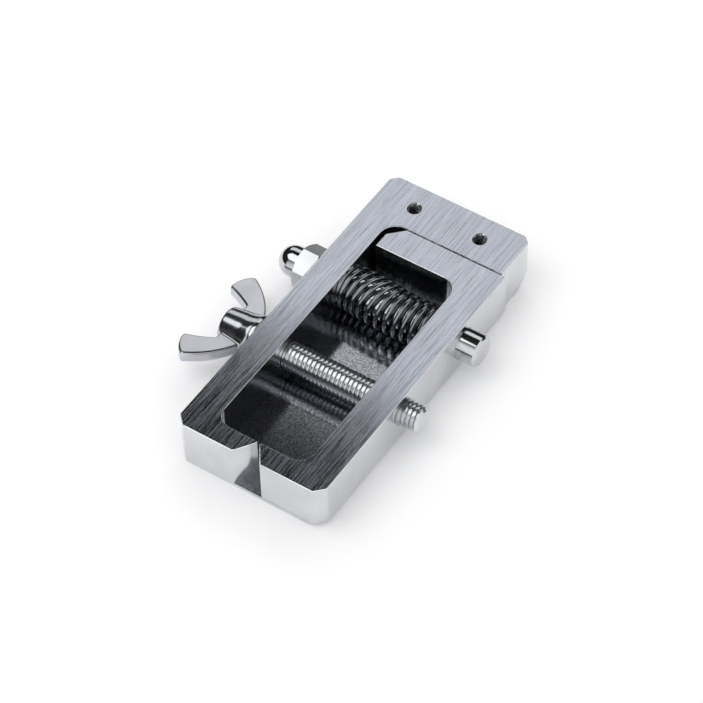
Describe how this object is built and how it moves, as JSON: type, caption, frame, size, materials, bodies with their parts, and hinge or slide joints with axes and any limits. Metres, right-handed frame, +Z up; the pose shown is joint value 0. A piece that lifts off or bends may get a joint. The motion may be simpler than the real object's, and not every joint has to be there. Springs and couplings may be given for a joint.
{
  "type": "tensile test grip",
  "caption": "Small flat vice grip for pull tests: a frame jaw and a sliding hook jaw closed by a wing nut on a threaded rod, opened by a spring on a guide pin.",
  "frame": {"origin": "on the underside, in the middle of the frame's length and width", "axes": "+X along the draw rod from the wing nut to the sliding jaw, +Y along the grip from the jaw tips to the mounting band, +Z up out of the window"},
  "size_m": [0.0528, 0.079, 0.0113],
  "materials": {
    "ground_steel": "hardened stainless steel, ground along its length on top, polished sides",
    "turned_steel": "turned and polished stainless steel",
    "forged_steel": "forged stainless steel, satin",
    "nut_plating": "bright nickel plate",
    "spring_wire": "drawn stainless spring wire, bright",
    "plate_steel": "cold-rolled stainless sheet"
  },
  "bodies": {
    "frame": {"frame": "ground_steel", "base_plate": "plate_steel", "plate_screws": "turned_steel", "guide_pin": "turned_steel", "cap_nut": "nut_plating", "washer": "nut_plating", "spring": "spring_wire"},
    "jaw": {"sliding_jaw": "ground_steel", "draw_rod": "turned_steel"},
    "wing": {"wing_nut": "forged_steel"}
  },
  "joints": [
    {"name": "jaw_slide", "type": "slide", "parent": "frame", "child": "jaw", "axis": [1, 0, 0], "range_m": [-0.00055, 0.004], "deforming": ["spring"]},
    {"name": "wing_turn", "type": "hinge", "parent": "frame", "child": "wing", "pos_m": [-0.018, -0.0096, 0.006], "axis": [1, 0, 0], "range_deg": [-1441, 199]}
  ],
  "couplings": [
    {"joint": "wing_turn", "follows": "jaw_slide", "rad_per_m": -6283.2}
  ]
}
